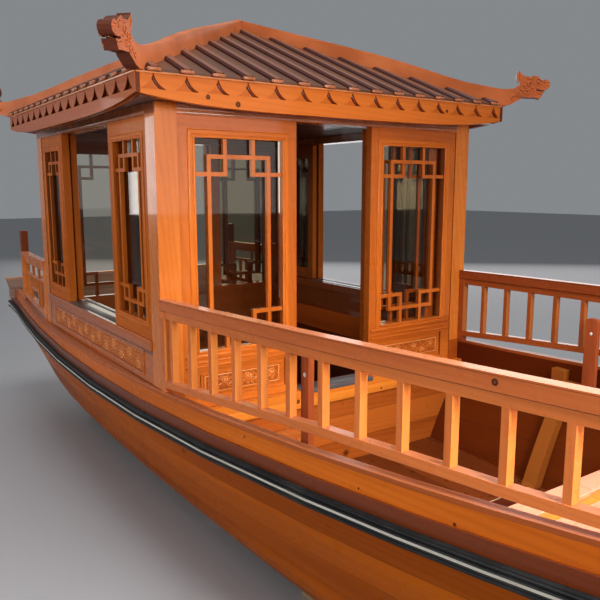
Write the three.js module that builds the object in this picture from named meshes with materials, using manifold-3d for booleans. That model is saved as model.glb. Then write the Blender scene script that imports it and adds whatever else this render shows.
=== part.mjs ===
// Small varnished pavilion boat, millimetres, bow +X, starboard -Y, up +Z, on its timber bearers at z = 0.
import * as THREE from 'three';
import { mergeVertices } from 'three/addons/utils/BufferGeometryUtils.js';
import Module from 'manifold-3d';

// Hull
const STERN = -3200, BOW = 3200;         // ends of the hull
const BEARER = 100;                      // height of the bearers
const SHEER_MID = 878, SHEER_X = -781;   // lowest point of the gunwale
const SHEER_RISE = 1.691e-5;             // rise of the gunwale per mm squared
const BEAM_MID = 1012, BEAM_X = -836;    // widest half breadth
const BEAM_FALL = 2.227e-5;              // narrowing per mm squared
const SKIN = 24;                         // side and bottom thickness
const FLOOR = 309;                       // top of the floor boards
const DECK = 782;                        // stern deck and fore platform
const PLATFORM_X = 1725, BOW_DECK_X = 2480;

// Cabin
const CAB_A = -1798, CAB_F = 209;        // outer faces of the end walls
const CAB_Y = 990;                       // outer faces of the side walls
const POST = 106;                        // corner posts
const SILL = 792;                        // door sill
const BASE = 914;                        // foot of the posts
const SIDE_SILL = 1129;                  // top of the side window sill
const HEAD = 2157, HEAD_TOP = 2206;      // header beams
const WALL = 45;                         // thickness of a panel
const DOOR_Y = 243;                      // half width of the doorway
const WIN_A = -1235, WIN_F = -403;       // side window opening

// Roof
const OVER = 132;                        // overhang of the eaves
const EAVE = 2317, APEX = 2795;          // slope surface at the eave and at the top
const FASCIA_TOP = 2303;
const END_ROWS = 15, SIDE_ROWS = 16;     // battens on the end slopes and on the side slopes

const gap = 0.3;
const wasm = await Module();
wasm.setup();

const COLORS = {
  pine: 0xc47a38, honey: 0xd08a42, red: 0x8a4a2c, brown: 0x5a3a2c, dark: 0x4a2f24,
  rubber: 0x1e2226, cream: 0xd8d2b8, glass: 0xa8b4b4, deck: 0xb07a48, grey: 0x8c8078,
};

const group = new THREE.Group();
group.name = 'pavilion_boat';

function toSolid(geometry) {
  const g = geometry.index ? geometry.clone() : geometry;
  g.deleteAttribute('normal');
  g.deleteAttribute('uv');
  const m = mergeVertices(g, 1e-3);
  return new wasm.Manifold(new wasm.Mesh({
    numProp: 3,
    vertProperties: new Float32Array(m.attributes.position.array),
    triVerts: new Uint32Array(m.index.array),
  }));
}

function addNode(name, solid, color, roughness = 0.35) {
  const mesh = solid.getMesh();
  const g = new THREE.BufferGeometry();
  g.setAttribute('position', new THREE.BufferAttribute(new Float32Array(mesh.vertProperties), 3));
  g.setIndex(new THREE.BufferAttribute(new Uint32Array(mesh.triVerts), 1));
  g.computeVertexNormals();
  const material = new THREE.MeshStandardMaterial({ color: COLORS[color], roughness });
  const node = new THREE.Mesh(g, material);
  node.name = name;
  group.add(node);
  return node;
}

const box = (x0, x1, y0, y1, z0, z1) =>
  toSolid(new THREE.BoxGeometry(x1 - x0, y1 - y0, z1 - z0).translate((x0 + x1) / 2, (y0 + y1) / 2, (z0 + z1) / 2));
const join = (list) => list.reduce((a, b) => a.add(b));
const cut = (a, list) => list.reduce((s, b) => s.subtract(b), a);
const largest = (s) => s.decompose().reduce((a, b) => (a.volume() > b.volume() ? a : b));

// Body through a row of rings with equal point counts, along +X; flat ends
function loft(rows) {
  const area = (r) => THREE.ShapeUtils.area(r.map((p) => new THREE.Vector2(p[1], p[2])));
  const rings = area(rows[0]) < 0 ? rows.map((r) => r.slice().reverse()) : rows;
  const n = rings[0].length, last = (rings.length - 1) * n, idx = [];
  for (let k = 0; k < last; k += n) {
    for (let i = 0; i < n; i++) {
      const a = k + i, b = k + (i + 1) % n;
      idx.push(a, b, b + n, a, b + n, a + n);
    }
  }
  for (const [base, ring, sign] of [[0, rings[0], -1], [last, rings[rings.length - 1], 1]]) {
    const pts = ring.map((p) => new THREE.Vector2(p[1], p[2]));
    for (const [i, j, k] of THREE.ShapeUtils.triangulateShape(pts, [])) {
      const up = THREE.ShapeUtils.area([pts[i], pts[j], pts[k]]) > 0;
      if (up === sign > 0) idx.push(base + i, base + j, base + k);
      else idx.push(base + i, base + k, base + j);
    }
  }
  const g = new THREE.BufferGeometry();
  g.setAttribute('position', new THREE.BufferAttribute(new Float32Array(rings.flat(2)), 3));
  g.setIndex(idx);
  return toSolid(g);
}

// Plate from an outline in two axes with a thickness along the third
function plate(points, axis, from, to, holes = []) {
  const shape = new THREE.Shape(points.map((p) => new THREE.Vector2(p[0], p[1])));
  for (const h of holes) shape.holes.push(new THREE.Path(h.map((p) => new THREE.Vector2(p[0], p[1]))));
  const g = new THREE.ExtrudeGeometry(shape, { depth: to - from, bevelEnabled: false, curveSegments: 6 });
  const m = new THREE.Matrix4();
  if (axis === 'x') m.set(0, 0, 1, from, 1, 0, 0, 0, 0, 1, 0, 0, 0, 0, 0, 1);
  else if (axis === 'y') m.set(1, 0, 0, 0, 0, 0, -1, to, 0, 1, 0, 0, 0, 0, 0, 1);
  else m.set(1, 0, 0, 0, 0, 1, 0, 0, 0, 0, 1, from, 0, 0, 0, 1);
  return toSolid(g.applyMatrix4(m));
}

// Hull lines, straight between the stations
const sq = (v) => v * v;
const over = (v) => Math.max(0, v);
const range = (a, b, n) => Array.from({ length: n + 1 }, (_, i) => a + (b - a) * i / n);
const stations = [-3300, ...range(STERN, -2400, 3), ...range(-2000, 1300, 5), ...range(1700, BOW, 5), 3300];
const chords = (f) => {
  const v = stations.map(f);
  return (x) => {
    let i = 1;
    while (i < stations.length - 1 && stations[i] < x) i++;
    const t = (x - stations[i - 1]) / (stations[i] - stations[i - 1]);
    return v[i - 1] + (v[i] - v[i - 1]) * t;
  };
};
const sheer = chords((x) => SHEER_MID + SHEER_RISE * sq(x - SHEER_X)
  + 70 * sq(over(x - 2600) / 600));
const beam = chords((x) => BEAM_MID - BEAM_FALL * sq(x - BEAM_X)
  + 20 * sq(over(-3000 - x) / 200) - 30 * sq(over(x - 3000) / 200));
const keel = (x) => BEARER + 150 * sq(over(-2300 - x) / 900) + 330 * Math.pow(over(x - 1300) / 1900, 2.1);
const lean = (x) => -150 * sq(over(-2400 - x) / 800) + 360 * sq(over(x - 1800) / 1400);
const between = (x0, x1) => [x0, ...stations.filter((x) => x > x0 + 1 && x < x1 - 1), x1];
// height share between keel and sheer, inset from the half breadth
const SECTION = [[1, 0], [0.76, 2], [0.62, 40], [0.495, 95], [0.33, 162], [0.212, 206], [0.09, 270], [0.03, 315], [0, 352]];

function hullRing(x, t, top) {
  const B = beam(x), G = sheer(x), K = keel(x);
  const side = SECTION.map(([h, inset]) => {
    const z = K + h * (G - K) + t * (1 - h);
    return [x + lean(x) * (h - 1), B - inset * B / BEAM_MID - t, h === 1 ? top(x) : z];
  });
  return [...side.map(([a, y, z]) => [a, -y, z]), ...side.reverse()];
}

// Strip along one side: cross-section corners as functions of x
function runner(x0, x1, side, yIn, yOut, zLow, zHigh) {
  return loft(between(x0, x1).map((x) => {
    const a = yIn(x) * side, b = yOut(x) * side;
    return [[x, a, zLow(x)], [x, b, zLow(x)], [x, b, zHigh(x)], [x, a, zHigh(x)]];
  }));
}
const SIDES = [['starboard', -1], ['port', 1]];

// Hull shell
const hullLines = between(STERN, BOW);
const hollow = (clear, top) => loft(hullLines.map((x) => hullRing(x, SKIN + clear, (v) => sheer(v) + top)))
  .intersect(box(STERN + 130 + clear, BOW - 130 - clear, -2000, 2000, 0, 3000));
const outer = loft(hullLines.map((x) => hullRing(x, 0, sheer)));
addNode('hull', outer.subtract(hollow(0, 60)), 'honey');

// Inside of the hull, kept a hair clear of it, for the pieces that fit into it
const fit = hollow(gap, 900);

// Gunwale cap all round, toe planks, rubbing planks and fenders
const capTop = (x) => sheer(x) + 16;
const ring = join(SIDES.map(([, s]) => runner(STERN - 12, BOW + 12, s, (x) => beam(x) - SKIN, (x) => beam(x) + 18,
  (x) => sheer(x) + gap, capTop)));
const endCap = (x0, x1) => loft(between(x0, x1).map((x) => {
  const b = beam(x) - 10;
  return [[x, -b, sheer(x) + gap], [x, b, sheer(x) + gap], [x, b, capTop(x)], [x, -b, capTop(x)]];
}));
addNode('gunwale_cap', join([ring, endCap(STERN - 12, STERN + 130), endCap(BOW - 130, BOW + 12)]), 'pine');
// Band round the hull: both sides and across both ends
function band(yIn, yOut, low, high, x0, x1) {
  const sides = SIDES.map(([, s]) => runner(x0, x1, s, (x) => beam(x) + yIn, (x) => beam(x) + yOut,
    (x) => sheer(x) + low, (x) => sheer(x) + high));
  const across = [[x0, x0 + yOut - yIn], [x1 - yOut + yIn, x1]].map(([a, b]) => loft(between(a, b).map((x) => {
    const w = beam(x) + yIn + 1;
    return [[x, -w, sheer(x) + low], [x, w, sheer(x) + low], [x, w, sheer(x) + high], [x, -w, sheer(x) + high]];
  })));
  return join([...sides, ...across]);
}
addNode('toe_plank', band(gap, 18, -66, 0, STERN - 18, BOW + 18), 'honey');
addNode('rub_plank', band(gap, 26, -116, -66 - gap, STERN - 26, BOW + 26), 'brown');
addNode('fender', band(gap, 44, -172, -116 - gap, STERN - 44, BOW + 44), 'rubber', 0.6);
addNode('fender_strip', band(44 + gap, 50, -149, -138, STERN - 50, BOW + 50), 'cream');

// Bearers under the hull, tied by two skids
const bearerAt = [-2300, -1150, -120, 760, 1700];
addNode('bearers', join([...bearerAt.map((x) => box(x - 50, x + 50, -560, 560, 0, Math.min(keel(x - 50), keel(x + 50)) - gap)),
  ...[-300, 300].map((y) => box(bearerAt[0], bearerAt[4], y - 40, y + 40, 0, 60))]), 'brown', 0.8);

// Floors, bulkheads and decks inside the hull, the cockpit step, and the frames that carry the posts
function floorOf(x0, x1, pitch) {
  const rows = [];
  for (let y = -6; y < 7; y++) rows.push(box(x0, x1, y * pitch - pitch / 2 + 2, y * pitch + pitch / 2 - 2, FLOOR - 24, FLOOR));
  const joists = range(x0 + 60, x1 - 60, Math.round((x1 - x0) / 700)).map((x) => box(x - 25, x + 25, -1000, 1000, 0, FLOOR - 20));
  return largest(join([...rows, ...joists]).intersect(fit));
}
const bulkhead = (x0, x1, top) => box(x0, x1, -1100, 1100, 0, top).intersect(fit);
addNode('cabin_floor', floorOf(CAB_A + 45, CAB_F - 75, 210), 'deck');
addNode('cockpit_floor', floorOf(CAB_F - 20, PLATFORM_X - 36, 210), 'red');
addNode('bulkhead_fore', bulkhead(CAB_F - 74, CAB_F - 22, 752), 'honey');
addNode('bulkhead_aft', bulkhead(CAB_A - 8, CAB_A + 44, 752), 'honey');
// Stern deck with the raised board across its end, leaning aft over the gunwale cap, its ends lipped down outside it
const endFace = STERN + 130 + gap, boardTop = sheer(STERN) + 98, boardLow = sheer(STERN) - 68;
const sternBoard = plate([[endFace, DECK - 30], [endFace + 36, DECK - 30], [endFace + 36, sheer(STERN)],
  [endFace + 16, boardTop], [endFace - 20, boardTop], [endFace, sheer(STERN) + 24]], 'y', -1100, 1100);
const boardEnd = beam(endFace) + 70, boardHorn = boardEnd + 18;
const endShape = plate([[-boardEnd, sheer(STERN) + 17], [boardEnd, sheer(STERN) + 17], [boardHorn, boardTop + 1], [-boardHorn, boardTop + 1]], 'x', -3200, -2900);
const lips = SIDES.map(([, s]) => {
  const [a, b] = [beam(endFace) + 33, boardEnd].map((v) => v * s);
  return box(endFace, endFace + 36, Math.min(a, b), Math.max(a, b), boardLow, sheer(STERN) + 20);
});
addNode('stern_deck', join([box(STERN, CAB_A - 50, -1100, 1100, DECK - 30, DECK).intersect(fit),
  sternBoard.intersect(fit), sternBoard.intersect(endShape), ...lips]), 'deck');
addNode('fore_platform', join([box(PLATFORM_X, BOW_DECK_X - 36, -1100, 1100, DECK - 30, DECK),
  box(PLATFORM_X - 35, PLATFORM_X, -1100, 1100, 0, DECK)]).intersect(fit), 'deck');
const foredeck = loft(between(BOW_DECK_X - 60, BOW - 131).map((x) => {
  const z = sheer(x) - 40;
  return [[x, -900, z - 28], [x, 900, z - 28], [x, 900, z], [x, -900, z]];
}));
addNode('bow_deck', join([foredeck.intersect(fit), bulkhead(BOW_DECK_X - 35, BOW_DECK_X, sheer(BOW_DECK_X) - 60)]), 'honey');

// Box step against the bulkhead on the starboard side of the door, with a tread lipped over its front
addNode('cockpit_steps', join([box(CAB_F - 22 + gap, 330, -640, -240, FLOOR + gap, 556),
  box(CAB_F - 22 + gap, 342, -652, -228, 555, 580)]), 'honey');

// Hull frame with a post in front of it, tied by a short rail, one on each side
for (const [name, s] of SIDES) {
  const y = (a, b) => [Math.min(s * a, s * b), Math.max(s * a, s * b)];
  const rib = box(950, 1030, ...y(0, 1100), FLOOR + gap, 905).intersect(fit).subtract(hollow(45, 900));
  const tie = box(1029, 1204, ...y(840, 1100), 770, 850).intersect(fit);
  const [aft, top] = s < 0 ? [1159, 1285] : [1137, 1206];
  const post = plate([[aft, 780], [1203, 780], [1203, top - 18], [1194, top - 5], [(aft + 1203) / 2, top], [aft + 9, top - 5], [aft, top - 18]], 'y', ...y(849, 874));
  addNode(`side_frame_${name}`, join([rib, tie, post]), 'red');
}

// Sill ring: door sills across the ends, base beams under the side walls
const nook = (x0, x1) => [box(x0, x1, -1100, -CAB_Y + POST, SILL - 40, 2000), box(x0, x1, CAB_Y - POST, 1100, SILL - 40, 2000)];
const sillFore = box(CAB_F - 74, CAB_F + 42, -1100, 1100, 752 + gap, SILL);
const sillAft = box(CAB_A - 42, CAB_A + 74, -1100, 1100, 752 + gap, SILL);
const baseBeams = SIDES.map(([, s]) => box(CAB_A, CAB_F, ...[s * 884, s * 1100].sort((p, q) => p - q), 752 + gap, BASE));
addNode('sill_ring', join([sillFore, sillAft, ...baseBeams]).intersect(fit), 'honey');

// Cabin frame: corner posts and header beams
const HEADER = box(CAB_A, CAB_F, -CAB_Y, CAB_Y, HEAD, HEAD_TOP)
  .subtract(box(CAB_A + 100, CAB_F - 100, -CAB_Y + 100, CAB_Y - 100, HEAD - 1, HEAD_TOP + 1));
const posts = [CAB_A, CAB_F - POST].flatMap((x) => [-CAB_Y, CAB_Y - POST].map((y) => box(x, x + POST, y, y + POST, BASE + gap, HEAD + 5)));
addNode('cabin_frame', join([HEADER, ...posts]), 'pine');

// Windowed panel in its own plane: u along the wall, z up; returns the frame and the glass outline
function lattice(u0, u1, z0, z1, bar) {
  const w = u1 - u0, h = z1 - z0, bars = [];
  const V = (u, a, b) => bars.push([u - bar / 2, u + bar / 2, a, b]);
  const H = (z, a, b) => bars.push([a, b, z - bar / 2, z + bar / 2]);
  const x1 = u0 + 0.16 * w, x2 = u1 - 0.16 * w, c1 = u0 + 0.34 * w, c2 = u1 - 0.34 * w;
  for (const e of [0, 1]) {
    const za = e ? z0 : z1, d = e ? 1 : -1;
    const t = za + d * 0.085 * h, s = za + d * 0.165 * h;
    H(t, x1 - bar / 2, x2 + bar / 2);
    V(c1, Math.min(za, s + d * bar / 2), Math.max(za, s + d * bar / 2));
    V(c2, Math.min(za, s + d * bar / 2), Math.max(za, s + d * bar / 2));
    H(s, u0, c1 + bar / 2);
    H(s, c2 - bar / 2, u1);
  }
  V(x1, z0 + 0.085 * h, z1 - 0.085 * h);
  V(x2, z0 + 0.085 * h, z1 - 0.085 * h);
  return bars;
}
// Panel with its outer face at `at` and its depth inward; returns the frame with its bars, and the pane behind them
function panel(axis, at, depth, u0, u1, z0, z1, glass, opts = {}) {
  const span = (t0, t1) => [at + depth * t0, at + depth * t1].sort((p, q) => p - q);
  const put = (a, b, za, zb, [d0, d1]) => (axis === 'x' ? box(d0, d1, a, b, za, zb) : box(a, b, d0, d1, za, zb));
  const [g0, g1, h0, h1] = glass;
  let body = put(u0, u1, z0, z1, span(0, 1)).subtract(put(g0, g1, h0, h1, span(-0.1, 1.1)));
  const bars = lattice(g0 - 1, g1 + 1, h0 - 1, h1 + 1, opts.bar ?? 20);
  body = join([body, ...bars.map(([a, b, c, d]) => put(a, b, c, d, span(0.15, 0.6)))]);
  if (opts.lower) {
    const [a, b, c, d] = opts.lower;
    body = body.subtract(put(a, b, c, d, span(-0.1, 0.28))).add(put(a + 22, b - 22, c + 22, d - 22, span(0.1, 0.3)));
  }
  // shoes that carry a sliding leaf on its sill
  if (opts.shoes) for (const u of [u0 + 70, u1 - 70]) body = body.add(put(u - 20, u + 20, z0 - 5 + gap, z0 + 1, span(0.25, 0.75)));
  const pane = put(g0 + gap, g1 - gap, h0 + gap, h1 - gap, span(0.61, 0.72));
  return [body, pane];
}
function addPanel(name, parts) {
  addNode(name, parts[0], 'pine');
  addNode(`${name}_glass`, parts[1], 'glass', 0.05);
}

// End walls: two fixed panels and one sliding door each
const G_TOP = 2062, G_LOW = 1069, CARVE = [830, 975];
for (const [name, e, face] of [['fore', 1, CAB_F - 6], ['aft', -1, CAB_A + 6]]) {
  const inner2 = CAB_Y - POST;
  for (const [side, s] of SIDES) {
    const a = s < 0 ? -inner2 + gap : DOOR_Y, b = s < 0 ? -DOOR_Y : inner2 - gap;
    addPanel(`wall_${name}_${side}`, panel('x', face, -e * WALL, a, b, SILL + gap, HEAD - gap,
      [a + 84, b - 84, G_LOW, G_TOP], { lower: [a + 70, b - 70, ...CARVE] }));
  }
  const d = face - e * (WALL + 12);
  addPanel(`door_${name}`, panel('x', d, -e * 40, DOOR_Y + 16, DOOR_Y + 16 + 540, SILL + 5, HEAD - 5,
    [DOOR_Y + 16 + 70, DOOR_Y + 16 + 470, G_LOW, G_TOP], { lower: [DOOR_Y + 80, DOOR_Y + 490, ...CARVE], shoes: true }));
}

// Side walls: carved apron, window sill, two fixed panels and two sliding sashes each
for (const [name, s] of SIDES) {
  const f = s * CAB_Y, inx0 = CAB_A + POST + gap, inx1 = CAB_F - POST - gap;
  const yy = (a, b) => [Math.min(s * a, s * b), Math.max(s * a, s * b)];
  addNode(`apron_${name}`, join([box(inx0, inx1, ...yy(948, 988), BASE + gap, 1080),
    box(inx0, inx1, ...yy(850, 1000), 1079, SIDE_SILL)]), 'honey');
  for (const [pos, a, b] of [['aft', inx0, WIN_A], ['fore', WIN_F, inx1]]) {
    addPanel(`side_${name}_${pos}`, panel('y', f - s * 4, -s * WALL, a, b, SIDE_SILL + gap, HEAD - gap,
      [a + 70, b - 70, 1210, G_TOP], { bar: 18 }));
    const u0 = pos === 'aft' ? WIN_A - 12 - 430 : WIN_F + 12, u1 = u0 + 430;
    addPanel(`sash_${name}_${pos}`, panel('y', f - s * (4 + WALL + 12), -s * 36, u0, u1, SIDE_SILL + 5, HEAD - 5,
      [u0 + 62, u1 - 62, 1210, G_TOP], { bar: 18, shoes: true }));
  }
}

// Roof: four slopes of boards with round battens, meeting under the hip beams
const RX = (CAB_F - CAB_A) / 2 + OVER, RY = CAB_Y + OVER, CX = (CAB_F + CAB_A) / 2;
const RC = Math.hypot(RX, RY), HIP_HALF = 29;
// rise of the hip beams over the slope, at runs from the apex
const HIP_RISE = [[0, 56], [400, 66], [670, 74], [850, 78], [1000, 76], [1130, 72], [1260, 65], [1380, 63], [1490, 71], [1590, 80],
  [RC + 49, 97]];
// carved head: run past the eave corner, height over the fascia
const HEAD_OUTLINE = [[57, 74], [86, 96], [82, 108], [70, 124], [66, 142], [70, 158], [79, 174], [84, 164], [94, 152], [114, 140],
  [147, 136], [169, 144], [191, 132], [206, 113], [224, 120], [244, 111], [255, 95], [251, 78], [238, 65], [222, 60],
  [200, 68], [180, 68], [178, 58], [200, 54], [223, 52], [210, 33], [200, 14], [164, 20], [131, 21], [103, 24], [93, 14], [71, 2],
  [44, -13], [12, -21]];
const slopeZ = (r) => APEX - (APEX - EAVE) * r / RC;
function hipBeam(grow) {
  const rs = HIP_RISE.map(([r]) => r);
  const upper = HIP_RISE.map(([r, h]) => [r, slopeZ(r) + h + grow]);
  if (grow) return plate([...upper, ...rs.map((r) => [r, slopeZ(r) - 332]).reverse()], 'y', -HIP_HALF - grow, HIP_HALF + grow);
  const foot = RC - 40;
  const lower = [...rs.filter((r) => r < foot - 60), foot].map((r) => [r, Math.max(slopeZ(r) - 32, FASCIA_TOP + 3)]).reverse();
  return plate([...upper.slice(0, -1), ...HEAD_OUTLINE.map(([a, b]) => [RC + a, FASCIA_TOP + 24 + b]), ...lower], 'y', -HIP_HALF, HIP_HALF);
}
const hipAngles = [['fore_starboard', 1, -1], ['fore_port', 1, 1], ['aft_starboard', -1, -1], ['aft_port', -1, 1]]
  .map(([n, e, s]) => [n, Math.atan2(s * RY, e * RX)]);
const turn = (solid, a) => solid.rotate([0, 0, a * 180 / Math.PI]).translate([CX, 0, 0]);
const wedges = hipAngles.map(([, a]) => turn(hipBeam(gap), a));

function slope(e, axis) {
  const run = axis === 'x' ? RX : RY, half = axis === 'x' ? RY : RX, t = 13.7;
  const P = (k, v, dz) => (axis === 'x' ? [CX + e * run * k, v * k, 0] : [CX + v * k, e * run * k, 0]).map((c, i) =>
    (i === 2 ? APEX - (APEX - EAVE) * k + dz : c));
  const tri = (dz0, dz1) => {
    const pts = [P(0.001, half, dz0), P(0.001, -half, dz0), P(1, -half, dz0), P(1, half, dz0),
      P(0.001, half, dz1), P(0.001, -half, dz1), P(1, -half, dz1), P(1, half, dz1)];
    const g = new THREE.BufferGeometry();
    g.setAttribute('position', new THREE.BufferAttribute(new Float32Array(pts.flat()), 3));
    g.setIndex([0, 1, 2, 0, 2, 3, 4, 6, 5, 4, 7, 6, 0, 4, 5, 0, 5, 1, 1, 5, 6, 1, 6, 2, 2, 6, 7, 2, 7, 3, 3, 7, 4, 3, 4, 0]);
    let m = toSolid(g);
    if (m.volume() < 0) { g.setIndex([...g.index.array].reverse()); m = toSolid(g); }
    return m;
  };
  const board = tri(-t, 0);
  const count = axis === 'x' ? END_ROWS : SIDE_ROWS, pitch = (2 * half - 12) / count, ang = Math.atan2(APEX - EAVE, run);
  const rows = range(0, count - 1, count - 1).map((i) => {
    const v = pitch * (i - (count - 1) / 2);
    const len = (run - Math.abs(v) * run / half) / Math.cos(ang);
    let m = plate([[-30, -4], [30, -4], [28, 7], [17, 15], [-17, 15], [-28, 7]], 'x', -len - 40, 8).rotate([0, ang * 180 / Math.PI, 0])
      .translate([run, v, EAVE]);
    if (axis === 'y') m = m.rotate([0, 0, 90 * e]).translate([CX, 0, 0]);
    else m = (e > 0 ? m : m.rotate([0, 0, 180])).translate([CX, 0, 0]);
    return m;
  });
  const wedge = tri(-t, 120);
  return cut(join([board, join(rows).intersect(wedge.add(extend(e, axis, run, half)))]), wedges);
}
function extend(e, axis, run, half) {
  const a = run - 1, b = run + 40;
  return axis === 'x'
    ? box(CX + Math.min(e * a, e * b), CX + Math.max(e * a, e * b), -half, half, EAVE - 60, EAVE + 60)
    : box(CX - half, CX + half, Math.min(e * a, e * b), Math.max(e * a, e * b), EAVE - 60, EAVE + 60);
}
for (const [name, e, axis] of [['fore', 1, 'x'], ['aft', -1, 'x'], ['port', 1, 'y'], ['starboard', -1, 'y']]) {
  addNode(`roof_slope_${name}`, slope(e, axis), 'brown');
}
addNode('hip_ridges', join(hipAngles.map(([, a]) => turn(hipBeam(0), a))), 'pine');

// Eave fascia with its arched lower edge and the pockets between its drip lobes, and the soffit behind it
const POCKET = [[0, 0], [6, -16], [18, -36], [35, -52], [55, -63]];
function fasciaBoard(half, along, at, e) {
  const pts = [];
  for (const v of range(-half, half, 16)) pts.push([v, 2173 + 47 * Math.pow(Math.abs(v) / half, 4)]);
  pts.push([half, FASCIA_TOP], [-half, FASCIA_TOP]);
  const lo = Math.min(at, at - e * 30), hi = Math.max(at, at - e * 30);
  const axis = along === 'y' ? 'x' : 'y', mid = along === 'y' ? 0 : CX, count = along === 'y' ? END_ROWS : SIDE_ROWS;
  const pitch = (2 * half - 12) / count, [p0, p1] = e > 0 ? [at - 15, at + 1] : [at - 1, at + 15];
  const pocket = plate([...POCKET, ...POCKET.slice(1).reverse().map(([u, z]) => [-u, z])].map(([u, z]) => [u, z + FASCIA_TOP - 4]), axis, p0, p1);
  const put = (u) => (along === 'y' ? pocket.translate([0, u, 0]) : pocket.translate([u, 0, 0]));
  return cut(plate(pts.map(([u, z]) => [u + mid, z]), axis, lo, hi),
    range(0, count - 1, count - 1).map((i) => put(mid + pitch * (i - (count - 1) / 2))));
}
const fascia = join([
  fasciaBoard(RY, 'y', CX + RX, 1), fasciaBoard(RY, 'y', CX - RX, -1),
  fasciaBoard(RX, 'x', RY, 1), fasciaBoard(RX, 'x', -RY, -1),
]);
addNode('eave_fascia', fascia.subtract(box(CX - RX + 30, CX + RX - 30, -RY + 30, RY - 30, 2000, 2400)), 'honey');
addNode('soffit', box(CX - RX + 30 + gap, CX + RX - 30 - gap, -RY + 30 + gap, RY - 30 - gap, HEAD_TOP + gap, HEAD_TOP + 16), 'red');

// Cockpit railings
const railY = (x) => beam(x) - 10;
const railTop = (x) => 1341 + 45 * (x - CAB_F) / 1980;
const railLow = (x) => {
  const t = (x - CAB_F) / 1991;
  return Math.max(925 + 239 * t - 99 * t * t, capTop(x) + 22);
};
const RAIL_END = 2450;
for (const [name, s] of SIDES) {
  const bars = [
    runner(CAB_F + gap, RAIL_END, s, (x) => railY(x) - 23, (x) => railY(x) + 23, (x) => railTop(x) - 48, railTop),
    runner(CAB_F + gap, RAIL_END, s, (x) => railY(x) - 15, (x) => railY(x) + 15, (x) => railTop(x) - 84, (x) => railTop(x) - 40),
    runner(CAB_F + gap, RAIL_END, s, (x) => railY(x) - 19, (x) => railY(x) + 19, railLow, (x) => railLow(x) + 32),
  ];
  for (let i = 0; i < 14; i++) {
    const x = CAB_F + (s < 0 ? 96 : 191) + i * 170;
    if (x > RAIL_END - 80) break;
    bars.push(runner(x - 11.5, x + 11.5, s, (v) => railY(v) - 15, (v) => railY(v) + 15, (v) => railLow(v) + 10, (v) => railTop(v) - 60));
  }
  bars.push(runner(RAIL_END - 60, RAIL_END, s, (v) => railY(v) - 28, (v) => railY(v) + 28, (v) => capTop(v) + gap, (v) => railTop(v) + 20));
  bars.push(runner(CAB_F + gap, CAB_F + 40, s, (v) => railY(v) - 20, (v) => railY(v) + 20, (v) => capTop(v) + gap, (v) => railTop(v) - 20));
  addNode(`cockpit_rail_${name}`, join(bars), 'pine');
}

// Stern railings with fretwork: each bar has its place along the boat and its lower and upper end
const FRET_MID = 1180, FRET_LOW = 1085;
const fret = [[-2470, 0, FRET_MID], [-2375, 0, FRET_MID], [-2285, FRET_LOW, FRET_MID], [-2200, FRET_LOW, FRET_MID],
  [-2085, 0, FRET_MID], [-1995, 0, FRET_MID], [-2280, FRET_MID, 1300], [-2060, FRET_MID, 1300]];
for (const [name, s] of SIDES) {
  const a = -2620, b = CAB_A - gap, y = (x) => beam(x) - 12, top = (x) => 1336;
  const low = (x) => capTop(x) + 34;
  const S = (x0, x1, z0, z1, w = 14) => runner(x0, x1, s, (x) => y(x) - w, (x) => y(x) + w, z0, z1);
  const bars = [
    S(a, b, (x) => top(x) - 32, top, 24), S(a, b, (x) => top(x) - 74, (x) => top(x) - 20, 13), S(a, b, low, (x) => low(x) + 34, 20),
    S(a - 50, a + 6, (x) => capTop(x) + gap, (x) => 1500, 27), S(a, a + 52, low, (x) => top(x) - 20, 13),
    S(a, b, () => FRET_MID - 9, () => FRET_MID + 9, 9), S(-2384, -2076, () => FRET_LOW - 9, () => FRET_LOW + 9, 9),
    S(b - 44, b, (x) => capTop(x) + gap, (x) => top(x) - 10, 18),
  ];
  for (const [x, z0, z1] of fret) bars.push(S(x - 9, x + 9, (v) => z0 || low(v) + 20, () => z1, 9));
  addNode(`stern_rail_${name}`, join(bars), 'pine');
}

export default group;
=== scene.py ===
# %% [markdown]
# # A varnished pavilion boat
#
# The real boat is a small wooden river boat: an open hull of glossy pine planks, a cabin with lattice
# windows, and a hipped roof whose corners end in carved heads. The solids of every part come from the
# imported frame. This lesson gives each part its wood, and adds the mouldings, carving and fittings that are
# too small for solids.

import math

import bmesh
import bpy
import numpy as np
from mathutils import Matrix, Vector


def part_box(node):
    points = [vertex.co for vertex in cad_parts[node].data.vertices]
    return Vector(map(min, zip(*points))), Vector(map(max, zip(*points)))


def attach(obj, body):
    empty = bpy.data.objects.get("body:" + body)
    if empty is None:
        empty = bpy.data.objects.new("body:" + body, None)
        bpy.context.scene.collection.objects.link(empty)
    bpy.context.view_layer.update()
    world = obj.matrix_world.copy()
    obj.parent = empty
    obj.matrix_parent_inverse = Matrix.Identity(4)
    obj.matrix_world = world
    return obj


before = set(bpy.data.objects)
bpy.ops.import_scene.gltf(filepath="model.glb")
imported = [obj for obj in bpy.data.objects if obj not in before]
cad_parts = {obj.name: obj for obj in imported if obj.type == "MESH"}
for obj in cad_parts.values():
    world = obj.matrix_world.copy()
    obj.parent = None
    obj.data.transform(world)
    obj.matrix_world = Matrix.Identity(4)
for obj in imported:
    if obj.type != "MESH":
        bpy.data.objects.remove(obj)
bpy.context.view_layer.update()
scene = bpy.context.scene
print("nodes in the frame:", len(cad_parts))

# %% [markdown]
# ## The viewpoint
#
# The camera stands just off the starboard bow at eye height and looks aft. Its place was found by fitting the
# corners of the cabin, so it is written as plain numbers in metres and radians.

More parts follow.
